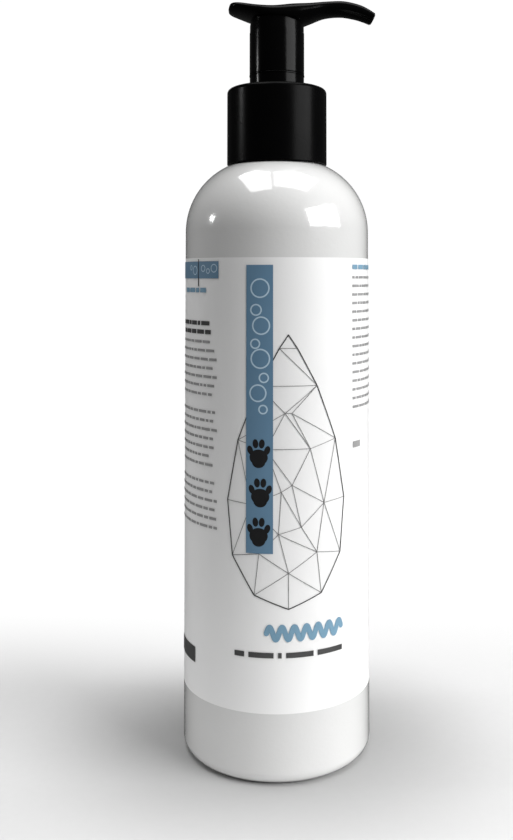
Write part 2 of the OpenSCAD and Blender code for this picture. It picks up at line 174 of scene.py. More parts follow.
def moulded(name, colours, gloss, patches, grains, depth, **fixed):
    """A plastic whose colour and roughness drift between two values, over a grain of some depth.
    The other values are set on the shader's own sockets."""
    material = bpy.data.materials.new(name)
    material.use_nodes = True
    nodes, links = material.node_tree.nodes, material.node_tree.links
    shader = nodes["Principled BSDF"]
    where = nodes.new("ShaderNodeTexCoord")
    grain = nodes.new("ShaderNodeGroup")
    grain.node_tree = GRAIN
    grain.inputs["Patches per metre"].default_value = patches
    grain.inputs["Grains per metre"].default_value = grains
    links.new(where.outputs["Object"], grain.inputs["Position"])
    tint = nodes.new("ShaderNodeMix")
    tint.data_type = "RGBA"
    tint.inputs["A"].default_value = (*colours[0], 1)
    tint.inputs["B"].default_value = (*colours[1], 1)
    links.new(grain.outputs["Patch"], tint.inputs["Factor"])
    links.new(tint.outputs["Result"], shader.inputs["Base Color"])
    rough = nodes.new("ShaderNodeMapRange")
    rough.inputs["From Min"].default_value = 0.3
    rough.inputs["From Max"].default_value = 0.7
    rough.inputs["To Min"].default_value = gloss[0]
    rough.inputs["To Max"].default_value = gloss[1]
    links.new(grain.outputs["Patch"], rough.inputs["Value"])
    links.new(rough.outputs["Result"], shader.inputs["Roughness"])
    bump = nodes.new("ShaderNodeBump")
    bump.inputs["Distance"].default_value = depth
    links.new(grain.outputs["Height"], bump.inputs["Height"])
    links.new(bump.outputs["Normal"], shader.inputs["Normal"])
    for socket, value in fixed.items():
        shader.inputs[socket.replace("_", " ")].default_value = value
    return material


body_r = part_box("bottle")[1].x / MM
lip_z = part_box("bottle")[1].z / MM
closure_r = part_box("closure")[1].x / MM
wall = 1.0
neck_r = 10.8
neck_bore_r = 9.2
neck_turns = 1.5
thread_top = lip_z - 2.0
land_z = lip_z - 17.2
land_r = closure_r - 0.4
shoulder_r = 19.9
shoulder_in = body_r - shoulder_r
shoulder_z = land_z - math.sqrt(shoulder_r ** 2 - (land_r - shoulder_in) ** 2)
pushup_r = 16.5
pushup_h = 2.0
dome_r = (pushup_r ** 2 + pushup_h ** 2) / (2 * pushup_h)
dome_centre = (0, pushup_h - dome_r)
dome_edge = math.degrees(math.acos(pushup_r / dome_r))
land_angle = math.degrees(math.acos((land_r - shoulder_in) / shoulder_r))
ceiling_z = land_z - wall
ceiling_angle = math.degrees(math.asin((ceiling_z - shoulder_z) / (shoulder_r - wall)))

bottle_mesh = bmesh.new()
turned(bottle_mesh, [
    *arc(dome_centre, dome_r, 90, dome_edge, 12)[:-1],
    (pushup_r, 0, 0.6),
    (body_r, 0, 3.0),
    *arc((shoulder_in, shoulder_z), shoulder_r, 0, land_angle, 30),
    (neck_r, land_z, 0.4), (neck_r, lip_z, 0.35), (neck_bore_r, lip_z, 0.35),
    (neck_bore_r, ceiling_z, 0.5),
    *arc((shoulder_in, shoulder_z), shoulder_r - wall, ceiling_angle, 0, 24),
    (body_r - wall, wall, 2.0),
    *arc(dome_centre, dome_r + wall, dome_edge + 0.1, 90, 12),
], steps=160)
thread(bottle_mesh, neck_r, 11.9, thread_top - PITCH * neck_turns, neck_turns)
# pinched line where the two halves of the mould close under the base
pinch_size, pinch_z = (26, 0.7, 0.6), 1.55
pinch = bmesh.new()
bmesh.ops.create_cube(pinch, size=1)
bmesh.ops.scale(pinch, vec=pinch_size, verts=pinch.verts)
bmesh.ops.translate(pinch, vec=(0, 0, pinch_z), verts=pinch.verts)
bmesh.ops.bevel(pinch, geom=pinch.edges[:], offset=0.15, segments=2, profile=0.5, affect="EDGES",
                material=-1)
add_to(bottle_mesh, pinch)

bottle_white = moulded("bottle_white", [(0.62, 0.62, 0.615), (0.66, 0.66, 0.655)], (0.10, 0.16),
                       patches=35, grains=900, depth=0.00003, Coat_Weight=1.0,
                       Coat_Roughness=0.03)
bottle_shell = finished("bottle_shell", bottle_mesh, bottle_white)
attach(bottle_shell, "bottle")
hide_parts("bottle")


# ------------------------------------------------------------------ label
# Printed label of satin white film, wrapped once round the straight body. It is cut as a flat
# strip, rolled round, and its end laps over its start at the back.
def rolled(part, radius):
    """Rolls flat work round the body: x is the distance along the girth from the front, y the
    height above the table, z the height above the label's face."""
    for v in part.verts:
        angle = v.co.x / radius - math.pi / 2
        v.co = Vector(((radius + v.co.z) * math.cos(angle), (radius + v.co.z) * math.sin(angle),
                       v.co.y))


label_low, label_high = (corner.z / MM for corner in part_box("label"))
label_face = body_r + 0.1
lap = math.radians(12) * label_face
girth = 2 * math.pi * label_face
film_t, film_back, lap_rise = 0.085, -0.09, 1.2

label_mesh = bmesh.new()
bmesh.ops.create_grid(label_mesh, x_segments=240, y_segments=12, size=0.5)
bmesh.ops.scale(label_mesh, vec=(girth + lap, label_high - label_low, 1), verts=label_mesh.verts)
bmesh.ops.translate(label_mesh, vec=(lap / 2, (label_low + label_high) / 2, film_back),
                    verts=label_mesh.verts)
for v in label_mesh.verts:
    v.co.z += film_t * min(1, max(0, v.co.x - girth / 2 + lap_rise))
bmesh.ops.recalc_face_normals(label_mesh, faces=label_mesh.faces)
bmesh.ops.solidify(label_mesh, geom=label_mesh.faces[:], thickness=-film_t)
rolled(label_mesh, label_face)
bmesh.ops.rotate(label_mesh, verts=label_mesh.verts,
                 matrix=Matrix.Rotation(-lap / label_face / 2, 3, "Z"))
bmesh.ops.recalc_face_normals(label_mesh, faces=label_mesh.faces)

label_white = moulded("label_white", [(0.77, 0.77, 0.77), (0.81, 0.81, 0.805)], (0.28, 0.36),
                      patches=50, grains=2600, depth=0.00001, Specular_IOR_Level=0.35)
label_film = finished("label_film", label_mesh, label_white)
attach(label_film, "bottle")
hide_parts("label")


# ------------------------------------------------------------------ print on the label
# Inks laid on the film in ten thin layers: a blue band with bubbles and paw prints, a faceted
# drop in fine lines, a blue wave over dark bars, and columns of grey bars where the small print
# would be. All of it is generic decoration.
INK_FOOT = -0.01
BASE_INK, OVER_INK, TEXT_INK, RIM_INK, FACET_INK = 0.02, 0.03, 0.018, 0.014, 0.012
STRIP = 0.9


def flat_bar(part, x0, x1, y0, y1, top):
    """A bar of ink between two widths and two heights."""
    grid = bmesh.ops.create_grid(part, x_segments=1, y_segments=1, size=0.5)["verts"]
    bmesh.ops.scale(part, vec=(x1 - x0, y1 - y0, 1), verts=grid)
    bmesh.ops.translate(part, vec=((x0 + x1) / 2, (y0 + y1) / 2, top), verts=grid)


def flat_disc(part, x, y, half_w, half_h, top, turn=0, hollow=0):
    """An ellipse of ink, or a ring of it where a line width is given."""
    disc = bmesh.ops.create_circle(part, segments=40, radius=1, cap_ends=hollow == 0)["verts"]
    place = Matrix.Translation((x, y, top)) @ Matrix.Rotation(turn, 4, "Z")
    if hollow:
        edges = list({e for v in disc for e in v.link_edges})
        inner = bmesh.ops.extrude_edge_only(part, edges=edges)["geom"]
        inner = [v for v in inner if isinstance(v, bmesh.types.BMVert)]
        bmesh.ops.scale(part, vec=(1 - hollow / half_w, 1 - hollow / half_h, 1), verts=inner)
        disc = disc + inner
    bmesh.ops.scale(part, vec=(half_w, half_h, 1), verts=disc)
    bmesh.ops.transform(part, matrix=place, verts=disc)


def stroke(part, points, width, top):
    """A pen line through points, with round joints."""
    for a, b in zip(points, points[1:]):
        a, b = Vector(a), Vector(b)
        run = b - a
        grid = bmesh.ops.create_grid(part, x_segments=1, y_segments=1, size=0.5)["verts"]
        bmesh.ops.scale(part, vec=(run.length, width, 1), verts=grid)
        bmesh.ops.transform(
            part, verts=grid, matrix=Matrix.Translation((*((a + b) / 2), top))
            @ Matrix.Rotation(math.atan2(run.y, run.x), 4, "Z"))
    for point in points:
        disc = bmesh.ops.create_circle(part, segments=12, radius=width / 2, cap_ends=True)
        bmesh.ops.translate(part, vec=(*point, top), verts=disc["verts"])


def printed(name, part, colours, gloss=(0.3, 0.38)):
    """Cuts flat ink into upright strips that can follow the girth, gives it its thickness, rolls
    it round the label and prints it on the bottle."""
    left, right = min(v.co.x for v in part.verts), max(v.co.x for v in part.verts)
    for cut in range(math.ceil(left / STRIP), math.ceil(right / STRIP)):
        bmesh.ops.bisect_plane(part, geom=part.verts[:] + part.edges[:] + part.faces[:],
                               plane_co=(cut * STRIP, 0, 0), plane_no=(1, 0, 0), dist=0.001)
    bmesh.ops.recalc_face_normals(part, faces=part.faces)
    for face in part.faces:
        if face.normal.z < 0:
            face.normal_flip()
    skin = bmesh.ops.extrude_face_region(part, geom=part.faces[:], use_keep_orig=True)["geom"]
    for v in skin:
        if isinstance(v, bmesh.types.BMVert):
            v.co.z = INK_FOOT
    rolled(part, label_face)
    bmesh.ops.recalc_face_normals(part, faces=part.faces)
    ink = moulded(name + "_ink", colours, gloss, patches=220, grains=5200, depth=0.000004,
                  Specular_IOR_Level=0.35)
    layer = finished(name, part, ink)
    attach(layer, "bottle")


def at(degrees):
    """Distance along the girth of an angle from the front."""
    return math.radians(degrees) * label_face


# blue band up the front, and a short one at the head of the left column
band_x = (at(-17.4), at(-1.8))
band_mid = sum(band_x) / 2
band = bmesh.new()
flat_bar(band, *band_x, 56.3, 127.4, BASE_INK)
flat_bar(band, at(-84), at(-36), 124.0, 128.4, BASE_INK)
printed("print_band", band, [(0.108, 0.205, 0.305), (0.124, 0.225, 0.330)])

# bubbles in fine light lines, rising up the upper half of the band
bubbles = bmesh.new()
for height, radius, aside in ((121.6, 2.45, 0.1), (116.2, 1.5, -0.9), (112.3, 2.3, 0.4),
                              (107.8, 1.3, -1.1), (104.1, 2.5, 0.2), (99.4, 1.3, 1.1),
                              (95.6, 2.2, -0.4), (91.6, 1.2, 0.9)):
    flat_disc(bubbles, band_mid + aside, height, radius, radius, OVER_INK, hollow=0.36)
for angle, height, radius in ((-39.5, 126.6, 1.1), (-44.5, 125.9, 0.7), (-49, 126.6, 0.9),
                              (-58, 126.1, 1.2), (-63.5, 126.8, 0.7)):
    flat_disc(bubbles, at(angle), height, radius, radius, OVER_INK, hollow=0.22)
printed("print_bubbles", bubbles, [(0.42, 0.55, 0.66), (0.46, 0.60, 0.70)])

# paw prints in solid black, walking up the lower half of the band, and a thin line that divides
# the short band
paws = bmesh.new()
for number in range(3):
    x, y = band_mid - 0.2 + 0.4 * (number % 2), 60.6 + 9.6 * number
    flat_disc(paws, x, y, 2.3, 1.95, OVER_INK)
    flat_disc(paws, x, y - 1.1, 1.7, 1.5, OVER_INK)
    for toe, (aside, above) in enumerate(((-2.15, 1.75), (-0.8, 3.35), (0.8, 3.35), (2.15, 1.75))):
        flat_disc(paws, x + aside, y + above, 0.72, 1.12, OVER_INK,
                  turn=math.radians(-12 * (toe - 1.5)))
flat_bar(paws, at(-54.4), at(-53.6), 122.0, 129.0, OVER_INK)
printed("print_paws", paws, [(0.010, 0.010, 0.011), (0.016, 0.016, 0.017)])

# large faceted drop: a teardrop outline round two inner rings, joined by triangles
drop_x, drop_low, drop_high, drop_half = at(7.0), 42.8, 110.0, 16.8
drop_mid, drop_tall = (drop_low + drop_high) / 2, (drop_high - drop_low) / 2


def drop_point(share, size=1.0, shift=0.0):
    """A point of the teardrop, from its tip at share 0 round and back to share 1."""
    t = 2 * math.pi * share
    swell = math.sin(t) * math.sin(t / 2) ** 0.9
    return Vector((drop_x + drop_half * 1.2 * size * swell,
                   drop_mid + drop_tall * (size * math.cos(t) + shift)))


rim_count, inner_count, heart_count = 14, 9, 4
outer = [drop_point(i / rim_count) for i in range(rim_count)]
inner = [drop_point((i + 0.5) / inner_count, 0.60, -0.14) for i in range(inner_count)]
heart = [drop_point(i / heart_count + 0.1, 0.22, -0.28) for i in range(heart_count)]
spots, edges, _, _, _, _ = delaunay_2d_cdt(outer + inner + heart, [],
                                           [list(range(rim_count))], 1, 0.01)
rim = bmesh.new()
facets = bmesh.new()
for a, b in edges:
    if a < rim_count and b < rim_count and (b - a) % rim_count in (1, rim_count - 1):
        stroke(rim, [spots[a], spots[b]], 0.26, RIM_INK)
    else:
        stroke(facets, [spots[a], spots[b]], 0.14, FACET_INK)
printed("print_drop_rim", rim, [(0.035, 0.035, 0.036), (0.06, 0.06, 0.062)])
printed("print_drop_facets", facets, [(0.16, 0.16, 0.16), (0.22, 0.22, 0.22)])

# blue wave and, under it, a row of dark bars
wave = bmesh.new()
wave_x0, wave_x1 = at(-5.5), at(40.5)
wave_z, wave_rise, wave_count, wave_steps = 37.0, 1.5, 6.5, 90
crest = [(wave_x0 + (wave_x1 - wave_x0) * i / wave_steps,
          wave_z + wave_rise * math.sin(wave_count * 2 * math.pi * i / wave_steps))
         for i in range(wave_steps + 1)]
stroke(wave, crest, 1.35, BASE_INK)
printed("print_wave", wave, [(0.155, 0.285, 0.395), (0.18, 0.32, 0.43)])

words = bmesh.new()
x = at(-24.4)
for length in (2.6, 6.3, 0.9, 7.0, 7.4):
    flat_bar(words, x, x + length, 31.0, 32.3, BASE_INK)
    x += length + 1.1
flat_bar(words, at(-82), at(-56.5), 25.7, 29.6, BASE_INK)
printed("print_words", words, [(0.05, 0.05, 0.05), (0.08, 0.08, 0.08)])

# columns of grey bars: left of the band, right of the drop, and two blocks at the back
draw = random.Random(4)
ROW_STEP, PARAGRAPH_GAP, WORD_GAP = 2.22, 2.2, 0.5


def text_rows(part, middle, width, first, rows, gaps=(), flush=False, bar_h=0.65):
    """Rows of word-length bars, centred on an angle or flush with its left side."""
    for row in range(rows):
        y = first - ROW_STEP * row - PARAGRAPH_GAP * sum(row >= gap for gap in gaps)
        length = width * draw.uniform(0.82, 1.0)
        x = at(middle) - (width if flush else length) / 2
        end = x + length
        while x < end - 1:
            word = min(draw.uniform(0.9, 3.4), end - x)
            flat_bar(part, x, x + word, y, y + bar_h, TEXT_INK)
            x += word + WORD_GAP


small = bmesh.new()
text_rows(small, -60, 20.5, 107.5, 20, gaps=(7, 14))
text_rows(small, 74, 19.5, 124.0, 16, flush=True)
text_rows(small, 128, 17.0, 110.0, 12, gaps=(5,))
text_rows(small, -122, 17.0, 110.0, 14, gaps=(6, 10), flush=True)
flat_bar(small, at(51.8), at(60), 80.6, 82.2, TEXT_INK)
printed("print_small", small, [(0.25, 0.25, 0.25), (0.33, 0.33, 0.33)])

heads = bmesh.new()
text_rows(heads, -60, 14.5, 120.4, 1, bar_h=1.2)
text_rows(heads, 74, 19.5, 126.4, 1, flush=True, bar_h=1.2)
printed("print_heads", heads, [(0.16, 0.29, 0.40), (0.18, 0.32, 0.43)])

bold = bmesh.new()
text_rows(bold, -60, 19.5, 112.0, 2, bar_h=1.1)
text_rows(bold, 128, 12.0, 115.0, 1)
stripes = at(-136)
while stripes < at(-104):
    stripe = draw.choice((0.3, 0.3, 0.6, 0.9))
    flat_bar(bold, stripes, stripes + stripe, 36.0, 50.0, TEXT_INK)
    stripes += stripe + draw.choice((0.35, 0.35, 0.7))
printed("print_bold", bold, [(0.04, 0.04, 0.04), (0.06, 0.06, 0.06)])


# ------------------------------------------------------------------ gasket
# Soft ring of pale foam between the bottle's lip and the pump's flange.
gasket_z0, gasket_z1 = (corner.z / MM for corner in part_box("gasket"))
gasket_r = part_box("gasket")[1].x / MM
gasket_bore = 6.77
gasket_mesh = bmesh.new()
turned(gasket_mesh, [(gasket_bore, gasket_z0, 0.12), (gasket_r, gasket_z0, 0.12),
                     (gasket_r, gasket_z1, 0.12), (gasket_bore, gasket_z1, 0.12)])
gasket_foam = moulded("gasket_foam", [(0.66, 0.66, 0.63), (0.80, 0.80, 0.77)], (0.75, 0.95),
                      patches=900, grains=6500, depth=0.00006)
gasket_ring = finished("gasket_ring", gasket_mesh, gasket_foam)
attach(gasket_ring, "pump")
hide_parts("gasket")


# ------------------------------------------------------------------ pump housing
# Moulded cylinder of natural polypropylene that hangs in the neck by its flange. It narrows to
# the ball's cage and seat, then to the socket that the dip tube is pushed into.
housing_z0, housing_z1 = (corner.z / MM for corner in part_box("housing"))
flange_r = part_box("housing")[1].x / MM
cylinder_r, cylinder_bore = 6.75, 5.75
socket_r, socket_bore = 4.1, 3.02
spring_seat = 126.0
socket_top = housing_z0 + 9.2
cage_bore, inlet_r = 2.9, 1.6
ball_z = (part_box("ball")[0].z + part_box("ball")[1].z) / 2 / MM
cone_z = ball_z + inlet_r - 2.45 * math.sqrt(2)
housing_mesh = bmesh.new()
turned(housing_mesh, [
    (socket_bore, housing_z0, 0.15), (socket_r, housing_z0, 0.3), (socket_r, socket_top, 0.3),
    (socket_r, socket_top + 1, 0.3), (socket_r, spring_seat - 3.6, 0.4),
    (cylinder_r, spring_seat - 1, 0.6),
    (cylinder_r, housing_z1 - 1, 0.2), (flange_r, housing_z1 - 1, 0.2), (flange_r, housing_z1, 0.2),
    (cylinder_bore, housing_z1, 0.3), (cylinder_bore, spring_seat, 0.2), (cage_bore, spring_seat, 0.2),
    (cage_bore, cone_z + cage_bore - inlet_r), (inlet_r, cone_z), (inlet_r, socket_top, 0.1),
    (socket_bore, socket_top, 0.1)])
for number in range(3):
    rib = bmesh.new()
    bmesh.ops.create_cube(rib, size=1)
    bmesh.ops.scale(rib, vec=(1.8, 0.8, 1.0), verts=rib.verts)
    bmesh.ops.translate(rib, vec=(inlet_r + 0.9, 0, spring_seat - 0.55), verts=rib.verts)
    bmesh.ops.bevel(rib, geom=rib.edges[:], offset=0.1, segments=2, profile=0.5, affect="EDGES",
                    material=-1)
    bmesh.ops.rotate(rib, verts=rib.verts, matrix=Matrix.Rotation(number * 2 * math.pi / 3, 3, "Z"))
    add_to(housing_mesh, rib)
natural = moulded("natural_polypropylene", [(0.74, 0.75, 0.74), (0.82, 0.83, 0.82)], (0.30, 0.42),
                  patches=90, grains=1900, depth=0.00002, Subsurface_Weight=0.15,
                  Subsurface_Scale=0.002)
housing_tube = finished("housing_tube", housing_mesh, natural)
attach(housing_tube, "pump")
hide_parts("housing")


# ------------------------------------------------------------------ dip tube
# Extruded polyethylene tube, pushed up into the housing's socket and cut to a point at its foot
# so that it can't seal itself against the bottle's floor.
tube_z0, tube_z1 = (corner.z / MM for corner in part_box("dip_tube"))
tube_r, tube_bore = 3.0, 2.1
tube_mesh = bmesh.new()
turned(tube_mesh, [(tube_bore, tube_z0 - 1), (tube_r, tube_z0 - 1), (tube_r, tube_z1, 0.1),
                   (tube_bore, tube_z1, 0.1)], steps=48)
bmesh.ops.bisect_plane(tube_mesh, geom=tube_mesh.verts[:] + tube_mesh.edges[:] + tube_mesh.faces[:],
                       plane_co=(-tube_r, 0, tube_z0), plane_no=(1, 0, -1), clear_outer=True)
bmesh.ops.bridge_loops(tube_mesh, edges=[e for e in tube_mesh.edges if e.is_boundary])
bmesh.ops.recalc_face_normals(tube_mesh, faces=tube_mesh.faces)
dip_tube_clear = moulded("dip_tube_natural", [(0.78, 0.79, 0.78), (0.84, 0.85, 0.84)], (0.2, 0.3),
                         patches=140, grains=1200, depth=0.00001, Subsurface_Weight=0.2,
                         Subsurface_Scale=0.002)
dip_tube = finished("dip_tube_long", tube_mesh, dip_tube_clear)
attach(dip_tube, "pump")
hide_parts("dip_tube")


# ------------------------------------------------------------------ valve ball and spring
# Polished steel ball that sits on the housing's cone, and the return spring of drawn stainless
# wire above it: closed at both ends, it stands on the housing and lifts the stem.
ball_r = (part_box("ball")[1].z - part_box("ball")[0].z) / 2 / MM
ball_mesh = bmesh.new()
bmesh.ops.create_icosphere(ball_mesh, subdivisions=4, radius=ball_r)
bmesh.ops.translate(ball_mesh, vec=(0, 0, ball_z), verts=ball_mesh.verts)
polished = moulded("polished_steel", [(0.58, 0.58, 0.59), (0.66, 0.66, 0.67)], (0.05, 0.12),
                   patches=500, grains=4000, depth=0.000002, Metallic=1.0)
valve_ball = finished("valve_ball", ball_mesh, polished)
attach(valve_ball, "ball")
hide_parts("ball")

spring_z0, spring_z1 = (corner.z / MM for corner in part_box("spring"))
wire_r, coil_r, coil_steps = 0.45, 4.3, 32
closed_rise = 2 * wire_r * 1.04
open_turns = 6.5
open_rise = (spring_z1 - spring_z0 - 2 * wire_r - 2 * closed_rise) / open_turns
spring_mesh = bmesh.new()
section = bmesh.ops.create_circle(spring_mesh, segments=12, radius=wire_r)["verts"]
bmesh.ops.rotate(spring_mesh, verts=section, matrix=Matrix.Rotation(math.pi / 2, 3, "X"))
bmesh.ops.translate(spring_mesh, vec=(coil_r, 0, spring_z0 + wire_r), verts=section)
last = spring_mesh.verts[:] + spring_mesh.edges[:]
for turns, rise in ((1, closed_rise), (open_turns, open_rise), (1, closed_rise)):
    last = bmesh.ops.spin(spring_mesh, geom=last, axis=AXIS, angle=turns * 2 * math.pi,
                          steps=round(turns * coil_steps), dvec=(0, 0, rise / coil_steps))["geom_last"]
close_ends(spring_mesh)
bmesh.ops.recalc_face_normals(spring_mesh, faces=spring_mesh.faces)
drawn = moulded("drawn_wire", [(0.50, 0.50, 0.50), (0.62, 0.62, 0.61)], (0.22, 0.38),
                patches=700, grains=9000, depth=0.000005, Metallic=1.0, Anisotropic=0.5)
return_spring = finished("return_spring", spring_mesh, drawn, sharp=60)
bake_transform(return_spring)
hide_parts("spring")


# ------------------------------------------------------------------ stem, plug and piston
# The hollow stem carries the head. The plug pressed into its foot seats the spring below and the
# piston's sleeve above, and the piston's two lips wipe the cylinder.
stem_z0, stem_z1 = (corner.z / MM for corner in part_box("stem"))
stem_r, stem_bore, stem_flange = 3.5, 2.1, 4.85
flange_low, flange_high = stem_z0 + 7.1, stem_z0 + 8.6
stem_mesh = bmesh.new()
turned(stem_mesh, [
    (stem_bore, stem_z0, 0.1), (stem_r, stem_z0, 0.2), (stem_r, flange_low, 0.1),
    (stem_flange, flange_low, 0.3), (stem_flange, flange_high, 0.3), (stem_r, flange_high, 0.2),
    (stem_r, stem_z1, 0.2), (stem_bore, stem_z1, 0.2)], steps=72)
stem_tube = finished("stem_tube", stem_mesh, natural)
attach(stem_tube, "stem")
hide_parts("stem")

plug_z0, plug_z1 = (corner.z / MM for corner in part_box("stem_plug"))
spigot_r, core_r, press_r = 3.5, 1.05, stem_bore - 0.02
plug_mesh = bmesh.new()
turned(plug_mesh, [
    (0, plug_z0), (spigot_r, plug_z0, 0.4), (spigot_r, stem_z0 - 2, 0.1),
    (stem_flange, stem_z0 - 2, 0.2), (stem_flange, stem_z0, 0.2), (core_r, stem_z0, 0.1),
    (core_r, stem_z0 + 2, 0.1), (press_r, stem_z0 + 2, 0.2), (press_r, plug_z1, 0.5),
    (0, plug_z1)], steps=72)
stem_foot = finished("stem_foot", plug_mesh, natural)
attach(stem_foot, "stem")
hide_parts("stem_plug")

seal_z0, seal_z1 = (corner.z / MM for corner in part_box("piston"))
seal_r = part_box("piston")[1].x / MM
web_z = (seal_z0 + seal_z1) / 2
sleeve_bore, sleeve_r, web_r, web_half, lip = 3.56, 4.36, 5.05, 0.6, 0.35
seal_mesh = bmesh.new()
turned(seal_mesh, [
    (sleeve_bore, seal_z0, 0.2), (sleeve_r, seal_z0, 0.2), (sleeve_r, web_z - web_half, 0.3),
    (web_r, web_z - web_half, 0.3), (seal_r - lip, seal_z0, 0.1), (seal_r, seal_z0, 0.15),
    (seal_r - 0.12, web_z, 0.8), (seal_r, seal_z1, 0.15), (seal_r - lip, seal_z1, 0.1),
    (web_r, web_z + web_half, 0.3), (sleeve_r, web_z + web_half, 0.3), (sleeve_r, seal_z1, 0.2),
    (sleeve_bore, seal_z1, 0.2)], steps=72)
seal_white = moulded("piston_white", [(0.80, 0.80, 0.79), (0.87, 0.87, 0.86)], (0.38, 0.5),
                     patches=200, grains=2500, depth=0.00001)
piston_seal = finished("piston_seal", seal_mesh, seal_white)
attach(piston_seal, "piston")
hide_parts("piston")


# ------------------------------------------------------------------ closure
# Smooth screw cap of satin black polypropylene, injection moulded, with a soft top edge, a hole
# for the pump's collar and a thread inside.
closure_z0, closure_z1 = (corner.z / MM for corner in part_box("closure"))
closure_bore, hole_r = 12.1, 7.64
plate_z = closure_z1 - 1.3
closure_mesh = bmesh.new()
turned(closure_mesh, [
    (closure_bore, closure_z0, 0.25), (closure_r, closure_z0, 0.2), (closure_r, closure_z1, 1.2),
    (hole_r, closure_z1, 0.2), (hole_r, plate_z, 0.1), (closure_bore, plate_z, 0.3)], steps=160)
thread(closure_mesh, closure_bore, 11.0, thread_top - PITCH * (neck_turns + 0.5), 1.25)
satin_black = moulded("satin_black", [(0.0010, 0.0010, 0.0011), (0.0020, 0.0020, 0.0021)],
                      (0.24, 0.32), patches=60, grains=1500, depth=0.000012,
                      Specular_IOR_Level=0.03)
screw_cap = finished("screw_cap", closure_mesh, satin_black)
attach(screw_cap, "closure")
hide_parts("closure")


# ------------------------------------------------------------------ chaplet
# Black collar held under the closure's plate. It guides the stem, and its ledge with two slots
# locks the head down until the head is turned so that its lugs can rise through the slots.
guide_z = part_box("chaplet")[0].z / MM
collar_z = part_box("chaplet")[1].z / MM
under_plate = plate_z - 0.9
groove_z = collar_z - 5.0
ledge_z = groove_z + 2.2
collar_r, groove_r, ledge_r = 7.49, 6.31, 5.41
guide_bore, chaplet_flange_r = 3.56, 10.04
bead_r = collar_r + 0.12
bead_z = closure_z1 + 0.05
chaplet_mesh = bmesh.new()
turned(chaplet_mesh, [
    (guide_bore, guide_z, 0.2), (cylinder_bore - 0.02, guide_z, 0.3),
    (cylinder_bore - 0.02, under_plate), (chaplet_flange_r, under_plate, 0.2),
    (chaplet_flange_r, plate_z, 0.2), (collar_r, plate_z, 0.1),
    (collar_r, bead_z, 0.05), (hole_r + 0.12, bead_z + 0.1, 0.05), (hole_r + 0.12, bead_z + 0.3, 0.05),
    (collar_r, bead_z + 0.45, 0.1), (collar_r, collar_z - 0.45, 0.05),
    (bead_r, collar_z - 0.36, 0.06), (bead_r, collar_z, 0.14), (groove_r, collar_z, 0.1),
    (groove_r, groove_z, 0.1), (guide_bore, groove_z, 0.2)], steps=128)
slot_half = math.degrees(math.asin(2.3 / ledge_r))
for side in (0, 180):
    turned(chaplet_mesh, [(ledge_r, ledge_z, 0.1), (groove_r + 0.1, ledge_z),
                          (groove_r + 0.1, collar_z - 0.1), (ledge_r, collar_z - 0.1, 0.15)],
           steps=48, turn=180 - 2 * slot_half, start=side - 90 + slot_half)
gloss_black = moulded("gloss_black", [(0.0010, 0.0010, 0.0011), (0.0020, 0.0020, 0.0021)],
                      (0.14, 0.20), patches=80, grains=1500, depth=0.000008,
                      Specular_IOR_Level=0.05)
lock_collar = finished("lock_collar", chaplet_mesh, gloss_black)
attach(lock_collar, "pump")
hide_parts("chaplet")


# ------------------------------------------------------------------ head
# Black pump head moulded in one: a thumb pad behind, a drooping nozzle in front, a skirt that
# meets the collar, and inside it the boss for the stem with its two locking lugs.
head_low, head_high = (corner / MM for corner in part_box("actuator"))
skirt_z = collar_z + 0.1
head_z = skirt_z + 13.6
skirt_r, skirt_bore, boss_r, boss_bore = 7.54, 6.39, 5.21, 3.56
pad_x, tip_x = head_low.x, head_high.x
pad_w, tip_w = head_high.y, 3.3
bore_r = 1.2
top_power, row_steps = 2.7, 6
# side outline: upper point, lower point and half width, from the pad's end to the nozzle's tip
stations = [
    ((pad_x, 4.5), (pad_x, 3.9), 0.25 * pad_w),
    ((pad_x + 0.7, 5.75), (pad_x + 0.8, 3.4), 0.56 * pad_w),
    ((pad_x + 2.8, 5.8), (pad_x + 3.0, 2.7), 0.80 * pad_w),
    ((-5.6, 5.0), (-6.2, 1.3), 0.98 * pad_w),
    ((-1.0, 4.9), (0, -0.2), pad_w),
    ((4.3, 5.5), (5.0, -0.3), 0.94 * pad_w),
    ((9.0, 5.85), (9.0, 1.0), 0.78 * pad_w),
    ((tip_x - 13.5, 6.4), (tip_x - 14.3, 2.45), tip_w + 1.6),
    ((tip_x - 8.9, 6.6), (tip_x - 9.8, 2.8), tip_w + 0.9),
    ((tip_x - 4.6, 5.7), (tip_x - 6.1, 2.2), tip_w + 0.5),
    ((tip_x - 2.0, 4.5), (tip_x - 3.6, 1.45), tip_w + 0.2),
    ((tip_x, 3.2), (tip_x - 1.5, 0.6), tip_w),
]
channel = [(tip_x - 0.75, 2.05), (tip_x - 5.3, 4.0), (tip_x - 10.3, 4.7), (0, 2.4)]


def through(a, b, c, d, t):
    """Smooth curve from b to c that heads the way its neighbours a and d lie."""
    return 0.5 * (2 * b + (c - a) * t + (2 * a - 5 * b + 4 * c - d) * t ** 2
                  + (3 * b - a - 3 * c + d) * t ** 3)


def ring(part, upper, lower, half_w, upper_power, lower_power=2):
    """A loop that stands between an upper and a lower point of the head's middle plane. A power
    of 2 makes that half round, and a higher power makes it squarer."""
    middle, up = (upper + lower) / 2, (upper - lower) / 2
    loop = bmesh.ops.create_circle(part, segments=56, radius=1)["verts"]
    for v in loop:
        power = upper_power if v.co.y > 0 else lower_power
        across, above = (math.copysign(abs(k) ** (2 / power), k) for k in v.co.xy)
        v.co = (middle.x + up.x * above, half_w * across, middle.y + up.y * above)
    return list({e for v in loop for e in v.link_edges})


